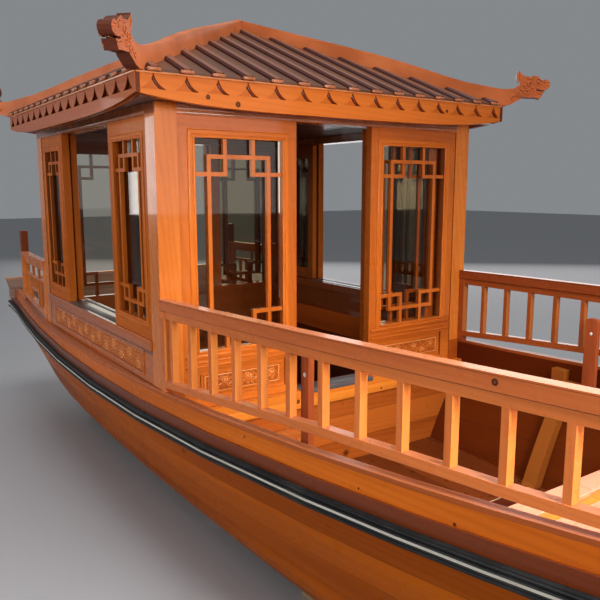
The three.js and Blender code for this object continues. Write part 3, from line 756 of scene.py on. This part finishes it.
def crosswise(x, half, z, width, height, radius=2.0):
    """A strip across the boat, as long to port as to starboard."""
    return strip((x, -half, z), (x, half, z), width, height, radius)


def lengthwise(ends, y, z, width, height, radius=2.0):
    """A strip along the boat between two ends."""
    return strip((ends[0], y, z), (ends[1], y, z), width, height, radius)


print("rings in a strip:", len(strip((0, 0, 0), (9, 0, 0), 9, 9)[0]))

# %% [markdown]
# ## Mouldings round the windows
#
# On the end walls each pane sits in a stepped moulding: a bead, a groove and a flat band. It is one profile
# carried round a rectangle with mitred corners, so the four sides meet as they would from a mitre saw.

# %% Places on walls
ENDS, SIDES = (("fore", 1), ("aft", -1)), (("starboard", -1), ("port", 1))


def on_x(face, sign):
    """Places (along Y, height, out) on a wall whose outer face is at x = face."""
    return lambda along, height, out: np.stack([face + sign * out, along, height], -1)


def on_y(face, sign):
    """Places (along X, height, out) on a wall whose outer face is at y = face."""
    return lambda along, height, out: np.stack([along, face + sign * out, height], -1)


def edges(node):
    """The low and the high corner of a solid's box, in mm."""
    low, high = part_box(node)
    return np.array(low) * 1000, np.array(high) * 1000


def outer_face(node, axis, sign):
    """Where a solid ends on an axis, on the side that the sign names."""
    low, high = edges(node)
    return high[axis] if sign > 0 else low[axis]


def end_panels(end):
    """The three panels of an end wall, each with the body that it rides on."""
    return (f"wall_{end}_starboard", "boat"), (f"wall_{end}_port", "boat"), (f"door_{end}", f"{end}_door")


print("panels and bodies:", *end_panels("fore"))

# %% Window mouldings
BEAD = np.array([(-1, 0), (-1, 4), (2, 6.2), (6, 6.8), (9, 5.2), (10.5, 2.6), (13, 2.6), (15, 5.5), (18, 6),
                 (30, 6), (34, 4.6), (36, 2), (36, 0)])
DOOR_BEAD, SIDE_BEAD = BEAD * (1, 0.75), BEAD * (0.8, 0.7)
GLASS_LOW, GLASS_TOP = 1069, 2062


def mitred(low, high, profile, place):
    """The profile (out, up) round the rectangle from low to high, moved out at the corners along both
    sides."""
    signs = np.array([(-1, -1), (1, -1), (1, 1), (-1, 1)])
    middle, half = np.add(high, low) / 2, np.subtract(high, low) / 2
    across = middle + signs[:, None] * (half + profile[None, :, :1])
    return place(across[..., 0], across[..., 1], np.broadcast_to(profile[None, :, 1], across.shape[:2])), True


mouldings = []
for end, sign in ENDS:
    for panel, body in end_panels(end):
        low, high = edges(panel + "_glass")
        place = on_x(outer_face(panel, 0, sign), sign)
        tube = mitred((low[1], GLASS_LOW), (high[1], GLASS_TOP), BEAD if body == "boat" else DOOR_BEAD, place)
        mouldings.append(piece(f"moulding_{panel}", [tube], "end_trim", body))
for side, sign in SIDES:
    for part in ("aft", "fore"):
        low, high = edges(f"side_{side}_{part}_glass")
        place = on_y(outer_face(f"side_{side}_{part}", 1, sign), sign)
        tube = mitred((low[0], low[2]), (high[0], high[2]), SIDE_BEAD, place)
        mouldings.append(piece(f"moulding_{side}_{part}", [tube], "side_trim"))
print("window mouldings:", len(mouldings))

# %% [markdown]
# ## Carved boards
#
# The low panels and the long aprons are carved with cloud scrolls: shallow ridges that wind round a row of
# centres. They could be sculpted, but a carved face is a height over a rectangle, so one function of two
# coordinates gives every board.

# %% Carving
GROUND = 0.6


def scrolls(along, height, length, depth, pitch, coil):
    """Height 0 to 1: for each centre a spiral ridge, cos(2 pi r / coil - turn), fading with r, over a
    ground of small leaves, the product of two bent sine waves; the greatest wins."""
    leaves = np.sin(along / 9.0 + 1.8 * np.sin(height / 8.5))
    leaves = leaves * np.sin(height / 8.0 + 2.1 * np.sin(along / 15.0))
    best = 0.75 * np.abs(leaves) ** 0.7
    centres = int(round(length / pitch))
    for number in range(centres):
        way = 1 if number % 2 else -1
        centre, lift = (number + 0.5) * length / centres, depth * (0.5 + 0.16 * way)
        east, north = along - centre, (height - lift) * 1.15
        reach, turn = np.hypot(east, north), np.arctan2(north, east) * way
        ridge = 0.5 + 0.5 * np.cos(2 * np.pi * reach / coil - turn)
        fade = np.exp(-(reach / (pitch * 0.52)) ** 4) * (1 - 0.35 * reach / pitch)
        best = np.maximum(best, ridge ** 0.8 * fade)
    leaf = np.abs(np.sin(along * np.pi / pitch)) * depth * 0.36 + depth * 0.1
    vein = np.exp(-((height - leaf) / 3.2) ** 2) * 0.8
    return np.maximum(best, vein)


def carved(length, depth, relief, place, step, pattern):
    """A board length by depth whose front is the pattern times the relief, and whose back is flat."""
    rows, columns = int(length / step), int(depth / step)
    along, height = np.meshgrid(np.linspace(0, length, rows), np.linspace(0, depth, columns), indexing="ij")
    rim = np.minimum(np.minimum(along, length - along), np.minimum(height, depth - height))
    out = GROUND + pattern(along, height) * relief * np.clip((rim - 2) / 5, 0, 1)
    back = np.stack([along[:, [-1, 0]], height[:, [-1, 0]], np.full((rows, 2), -0.4)], -1)
    front = np.stack([along, height, out], -1)
    ring = np.concatenate([front, back], 1)
    return place(ring[..., 0], ring[..., 1], ring[..., 2]), False


def keep_height(carving, axis, base, relief):
    """Stores each point's height over the ground, as a share of the relief, for the finish to read."""
    points = np.empty(len(carving.data.vertices) * 3)
    carving.data.vertices.foreach_get("co", points)
    kept = carving.data.attributes.new("relief", "FLOAT", "POINT")
    kept.data.foreach_set("value", (np.abs(points[axis::3] * 1000 - base) - GROUND) / relief)


print("carved ground stands proud by", GROUND, "mm")

# %% Low panels of the end walls
SCROLL_LOW, SCROLL_TALL, RIM_LOW, RIM_TOP = 865, 75, 858, 947
PANEL_RIM = np.array([(-9, 0), (-9, 2.6), (-6, 4.6), (-3, 4.6), (0, 2.6), (0, 0)])
carvings = []
for end, sign in ENDS:
    for panel, body in end_panels(end):
        fixed = body == "boat"
        low, high = edges(panel)
        start, stop = (low[1] + 92, high[1] - 92) if fixed else (low[1] + 86, high[1] - 117)
        face = outer_face(panel, 0, sign) - sign * (high[0] - low[0]) * 0.1
        shift, long, relief = on_x(face, sign), stop - start - 60, 5.0 if fixed else 3.0
        board = carved(long, SCROLL_TALL, relief,
                       lambda along, height, out: shift(along + start + 30, height + SCROLL_LOW, out), 2.4,
                       lambda along, height: scrolls(along, height, long, SCROLL_TALL, 62, 12.0))
        rim = mitred((start + 14, RIM_LOW), (stop - 14, RIM_TOP), PANEL_RIM * (1, 1 if fixed else 0.6), shift)
        carvings.append(piece(f"carving_{panel}", [board, rim], "carving", body, 70))
        keep_height(carvings[-1], 0, face, relief)
print("carved panels:", len(carvings))

# %% Aprons under the side windows
APRON_AFT, APRON_FORE, APRON_LOW, APRON_TOP = -1560, -20, 946, 1052
APRON_FACE, APRON_RELIEF = 988, 6.5
APRON_RIM = np.array([(0, 0), (0, 3), (2, 5), (7, 5), (9, 3), (9, 0)])
long, tall = APRON_FORE - APRON_AFT, APRON_TOP - APRON_LOW
for side, sign in SIDES:
    shift = on_y(sign * APRON_FACE, sign)
    board = carved(long, tall, APRON_RELIEF,
                   lambda along, height, out: shift(along + APRON_AFT, height + APRON_LOW, out), 3.6,
                   lambda along, height: scrolls(along, height, long, tall, 118, 19.0))
    carvings.append(piece(f"carving_apron_{side}", [board], "carving", smooth=70))
    keep_height(carvings[-1], 1, sign * APRON_FACE, APRON_RELIEF)
    rim = mitred((APRON_AFT, APRON_LOW), (APRON_FORE, APRON_TOP), APRON_RIM, shift)
    piece(f"border_apron_{side}", [rim], "apron_trim")
print("carved boards:", len(carvings))

# %% [markdown]
# ## Strips, lips and sills
#
# Long thin strips finish the joints: beads on the header, a pale lip along the eaves, bands under the
# windows and a metal track for the sashes. Each pair of numbers below is where a face stands, in mm, and
# the way out of it.

# %% Strips
HEADER_ENDS, HEADER_SIDES = ((209, 1), (-1798, -1)), ((990, 1), (-990, -1))
EAVE_ENDS, EAVE_SIDES = ((341, 1), (-1930, -1)), ((1122, 1), (-1122, -1))
POSTS, EAVE_HIGH, SASH_RUN = (-1692, 103), 2301, (-1232, -406)
bands = []
for face, sign in ((203, 1), (-1792, -1)):
    for z, out, tall in ((1046, 9, 12), (1018, 7, 9), (997, 12, 8)):
        for y0, y1 in ((-868, -259), (259, 868)):
            bands.append(strip((face + sign * out / 2, y0, z), (face + sign * out / 2, y1, z), out, tall))
beads = [crosswise(x + sign * 2, 884, z, 6, 13) for z in (2166, 2183, 2198) for x, sign in HEADER_ENDS]
beads += [lengthwise(POSTS, y + sign * 2, 2168, 6, 10) for y, sign in HEADER_SIDES]
lip = [crosswise(x + sign * 2.5, 1118, EAVE_HIGH, 9, 8) for x, sign in EAVE_ENDS]
lip += [lengthwise((-1926, 337), y + sign * 2.5, EAVE_HIGH, 9, 8) for y, sign in EAVE_SIDES]
sills = [lengthwise(POSTS, sign * 996, 1122, 10, 13) for side, sign in SIDES]
plates = [lengthwise(SASH_RUN, sign * y, 1130.6, width, 3, 1.2)
          for sign in (-1, 1) for y, width in ((957, 44), (879, 16))]
piece("bands_end_walls", bands, "end_trim")
piece("header_beads", beads, "header_trim")
piece("eave_lip", lip, "lip")
piece("window_sill_lips", sills, "apron_trim")
piece("sill_plates", plates, "metal_strip")
print("strips:", len(bands) + len(beads) + len(lip) + len(sills) + len(plates))

# %% [markdown]
# ## Along the hull
#
# The fender bends with the hull. Its lines are the two curves of the hull's edge, how wide and how high it is
# along the boat, so a rib laid on the fender follows it exactly.

# %% Fender ribs and the end board
HULL_AT = np.r_[np.linspace(-3200, -2400, 4), np.linspace(-2000, 1300, 6), np.linspace(1700, 3200, 6)]
WIDEST, LOWEST = 1012, 878


def hull_edge(x):
    """Half width and height of the hull's edge: parabolas over x with small terms at the ends, taken at the
    stations and straight between."""
    stern, bow, rise = (np.maximum(0, past) for past in (-3000 - HULL_AT, HULL_AT - 3000, HULL_AT - 2600))
    wide = WIDEST - HULL_BEND / 1000 * (HULL_AT + HULL_MIDDLE * 1000) ** 2
    high = LOWEST + SHEER_RISE / 1000 * (HULL_AT + SHEER_LOW * 1000) ** 2
    wide = wide + 20 * (stern / 200) ** 2 - 30 * (bow / 200) ** 2
    return np.interp(x, HULL_AT, wide), np.interp(x, HULL_AT, high + 70 * (rise / 600) ** 2)


stations = np.array([-3198.0, *HULL_AT[1:-1], 3198.0])
half, edge = hull_edge(stations)
ribs = []
for sign in (-1, 1):
    for drop, radius, out in ((125.5, 3.6, 43.6), (136.6, 2.8, 49.2), (150.4, 2.8, 49.2), (163.0, 3.2, 43.6)):
        ribs.append(round_bar(np.stack([stations, sign * (half + out), edge - drop], -1), radius, 0.5))
piece("fender_ribs", ribs, "rubber")
piece("end_board_cap", [crosswise(-3073, 1002, 1076, 40, 8)], "lip")
print("fender ribs:", len(ribs))

# %% [markdown]
# ## In the cockpit and at the door
#
# Small joinery shows between the balusters: a nosing under the door sill, a dull metal threshold, a dark
# hatch and a light joint strip in the floor, and a bright board in the fore platform.

# %% Cockpit joinery
FLOOR_TOP, PLATFORM_TOP = 311, 783
piece("sill_nosing", [crosswise(216.5, 905, 723.5, 56, 55, 5)], "honey")
piece("door_threshold", [crosswise(199, 240, 793.6, 106, 3, 1.2), crosswise(252.2, 240, 783, 3, 22, 1.2)],
      "metal_strip")
piece("floor_hatch", [lengthwise((1006, 1139), 401.5, FLOOR_TOP, 171, 6)], "red")
piece("platform_board", [crosswise(1812, 760, PLATFORM_TOP, 52, 5)], "honey")
joints = [crosswise(995, 640, FLOOR_TOP - 1, 6, 5), crosswise(1783, 760, PLATFORM_TOP, 4, 4)]
piece("joint_lines", joints, "putty")
print("cockpit joinery: 5 pieces")

# %% [markdown]
# ## Bolts
#
# Steel bolts show on both faces of the cockpit's posts: a low washer under a higher head, both of them domes.


# %% Bolts
def dome(centre, radius, rise):
    """Run, height and out of a round button: rings of a quarter circle, closed by a small top ring."""
    lift = np.linspace(0, np.pi / 2 * 0.94, 6)[:, None]
    turn = np.linspace(0, 2 * np.pi, 14, endpoint=False)[None, :]
    reach = radius * np.cos(lift)
    return centre[0] + reach * np.cos(turn), centre[1] + reach * np.sin(turn), rise * np.sin(lift) + 0 * turn


bolts = []
for x, z, faces in ((1181, 1197, ((-874, -1), (-849, 1))), (1170, 1128, ((849, -1), (874, 1)))):
    for face, sign in faces:
        for radius, rise in ((8.5, 1.6), (5.5, 4.5)):
            bolts.append((on_y(face, sign)(*dome((x, z), radius, rise)), False))
piece("post_bolts", bolts, "steel")
print("bolts:", len(bolts) // 2)

# %% [markdown]
# ## Ends of the battens
#
# Each roof batten ends at the eave under a small rounded block, so the blocks stand in rows at the batten
# spacing. In each pocket between two lobes of the eave board, a dark fillet follows the cut edge as a
# painted shadow.

# %% Batten ends and lobe shadow fillets
PITCH_Y, PITCH_X, ROWS_Y, ROWS_X = BATTEN["end"][1] * 1000, BATTEN["side"][1] * 1000, 15, 16
BLOCK_HIGH, BLOCK_HALF, LOBE_TOP = 2314, 32, 2298
LOBE = np.array([(2, -4), (6, -16), (18, -36), (35, -52), (53, -63)])
blocks, shadow_fillets = [], []
for row in range(ROWS_Y):
    y = (row - (ROWS_Y - 1) / 2) * PITCH_Y
    for x, sign in EAVE_ENDS:
        low, high = (x + sign * 8, y - BLOCK_HALF, BLOCK_HIGH), (x + sign * 8, y + BLOCK_HALF, BLOCK_HIGH)
        blocks.append(strip(low, high, 15, 14, 4.5))
        # A dark bar in the pocket: a painted shadow along the lobe's cut edge.
        cut = np.stack([np.full(len(LOBE), x - sign * 15.0), y + LOBE[:, 0] - 3, LOBE[:, 1] + LOBE_TOP], -1)
        shadow_fillets.append(round_bar(cut, 6.0, 0.4, up=(1, 0, 0)))
for row in range(ROWS_X):
    x = MIDDLE * 1000 + (row - (ROWS_X - 1) / 2) * PITCH_X
    for y, sign in EAVE_SIDES:
        blocks.append(lengthwise((x - BLOCK_HALF, x + BLOCK_HALF), y + sign * 8, BLOCK_HIGH, 15, 14, 4.5))
piece("batten_ends", blocks, "batten_end", smooth=60)
piece("lobe_shadow_fillets", shadow_fillets, "red", smooth=60)
print("batten ends:", len(blocks), "fillets:", len(shadow_fillets))

# %% [markdown]
# ## The carved heads
#
# Each hip ridge ends in a carved beast's head. The solid has its outline; the knife work on its cheeks is
# added here: an eye under a brow, a nostril, lips, teeth, and curls of mane that run back along the neck.
# Every line is written once, as runs and heights, and laid on both cheeks of all four heads.

# %% Lines of a head
def curl(centre, radius, turns, start, way=1, points=26):
    """A flat spiral (run, height): the radius shrinks evenly to a fifth while the angle winds round."""
    share = np.linspace(0, 1, points)
    angle, reach = start + share * turns * 2 * np.pi * way, radius * (1 - 0.8 * share)
    return np.stack([centre[0] + reach * np.cos(angle), centre[1] + reach * np.sin(angle)], -1)


MANE = [curl((104, 82), 21, 1.5, 2.6), curl((140, 96), 17, 1.4, 2.9, -1), curl((128, 52), 16, 1.3, 0.6),
        curl((84, 44), 17, 1.4, 0.2, -1), curl((52, 22), 15, 1.2, 0.4)]
FACE = {"brow": [(176, 122), (186, 126), (198, 121), (207, 110)],
        "lip": [(184, 66), (204, 64), (226, 63), (240, 69)],
        "jaw": [(176, 48), (196, 48), (212, 42), (206, 24)], "ear": [(158, 120), (146, 126), (126, 128)],
        "horn": [(88, 122), (79, 140), (79, 157)], "nose": [(218, 112), (226, 104), (238, 104)]}
BUTTONS = {"eye": ((190, 106), 10, 6), "nostril": ((240, 92), 6, 4), "wart": ((226, 80), 5, 3),
           "cheek": ((160, 78), 9, 4)}
LINES = MANE + [np.array(line) for line in FACE.values()]
print("cuts on a cheek:", len(LINES) + len(BUTTONS))

# %% Heads
RIDGE_X, RIDGE_Y = 1135.5, 1122.0
REACH, THICK, HEAD_BASE = math.hypot(RIDGE_X, RIDGE_Y), 29.0, 2327.0


def on_cheek(corner, ahead, outward):
    """Places on a cheek that faces outward: the run past the eave corner, the height over it, and the way
    out."""

    def place(run, height, out):
        along = np.multiply.outer(run, ahead) + np.multiply.outer(height, [0, 0, 1])
        return corner + along + np.multiply.outer(THICK + out, outward)

    return place


heads = []
for east, north in ((1, 1), (1, -1), (-1, 1), (-1, -1)):
    bearing = math.atan2(north * RIDGE_Y, east * RIDGE_X)
    ahead = np.array([math.cos(bearing), math.sin(bearing), 0])
    aside = np.array([-math.sin(bearing), math.cos(bearing), 0])
    corner = np.array([MIDDLE * 1000, 0, HEAD_BASE]) + ahead * REACH
    for cheek in (1, -1):
        place = on_cheek(corner, ahead, aside * cheek)
        for line in LINES:
            heads.append(round_bar(place(line[:, 0], line[:, 1], np.full(len(line), 0.4)), 4.2, 0.3, aside))
        for button in BUTTONS.values():
            run, height, out = dome(*button)
            heads.append((place(run, height, out - 0.5), False))
    for tooth in range(4):
        root = corner + ahead * (190 + tooth * 10)
        heads.append(round_bar([root + [0, 0, height] for height in (66, 62, 56)], 4.0, 0.6, ahead))
piece("head_carving", heads, "mane", smooth=60)
print("carved heads: 4, ridges on each:", 2 * len(LINES))

# %% [markdown]
# ## The floor
#
# The boat stands on a plain pale floor, as in a studio: one large square, a millimetre under the bearers.
# It is no part of the boat.

# %% Studio floor
corners = [(-40, -40, -0.001), (40, -40, -0.001), (40, 40, -0.001), (-40, 40, -0.001)]
floor_mesh = bpy.data.meshes.new("studio_floor")
floor_mesh.from_pydata(corners, [], [(0, 1, 2, 3)])
studio_floor = bpy.data.objects.new("studio_floor", floor_mesh)
scene.collection.objects.link(studio_floor)
floor_finish, strand, shader = new_material("pale_floor")
feed(strand, shader, Base_Color=rgb(0.36, 0.36, 0.37), Roughness=0.7)
floor_mesh.materials.append(floor_finish)
print("floor:", studio_floor.dimensions.x, "m square")

# %% [markdown]
# ## The light
#
# The boat is lit mostly from ahead, so the faces that look forward glow, and the starboard side is lit by a
# paler, weaker panel that shows as a sheen in the varnish. Glossy wood mirrors its lamps, so each is a
# large soft panel.


# %% Lamps
def lamp(name, place, target, size, power, colour, spread=180):
    """A soft panel of light at a place, turned to its target; a small spread, in degrees, keeps it to a
    beam."""
    light = bpy.data.lights.new(name, "AREA")
    light.shape, light.spread = "RECTANGLE", math.radians(spread)
    light.size, light.size_y = size
    light.energy, light.color = power, colour
    made = bpy.data.objects.new(name, light)
    made.location = place
    made.rotation_euler = (Vector(target) - Vector(place)).to_track_quat("-Z", "Y").to_euler()
    made.visible_camera = False
    scene.collection.objects.link(made)


lamp("ahead", (6.0, -0.9, 2.4), (0.4, -1.1, 1.45), (2.2, 1.4), 24, (1.0, 0.97, 0.94), 58)
lamp("cockpit", (3.9, -0.6, 2.8), (1.6, -0.5, 0.7), (1.2, 1.0), 30, (1.0, 0.97, 0.95), 70)
lamp("starboard", (0.8, -6.8, 3.0), (0.2, 0.0, 1.2), (4.0, 1.8), 135, (1.0, 0.97, 0.96))
lamp("quarter", (-7.2, -4.7, 2.3), (0.0, -1.0, 1.8), (2.2, 1.8), 42, (1.0, 0.96, 0.95))
lamp("bow_sheen", (7.2, 2.3, 2.9), (0.2, -0.9, 2.0), (3.2, 3.0), 62, (1.0, 0.97, 0.96))
lamp("far_sheen", (-9.5, 8.5, 3.6), (0.5, 0.0, 1.2), (16.0, 5.0), 480, (1.0, 0.97, 0.97))
lamp("above", (0.5, 0.0, 7.5), (0.0, 0.0, 1.0), (6.0, 4.0), 290, (0.96, 0.98, 1.0))

# %% World
world = bpy.data.worlds.new("studio")
world.use_nodes = True
sky = world.node_tree.nodes["Background"].inputs
sky["Color"].default_value = rgb(0.9, 0.95, 1.0)
sky["Strength"].default_value = 0.26
scene.world = world
scene.view_settings.view_transform = "Standard"
print("view:", scene.view_settings.view_transform)

# %% [markdown]
# ## The end

# %% The end
print("end of the scene")
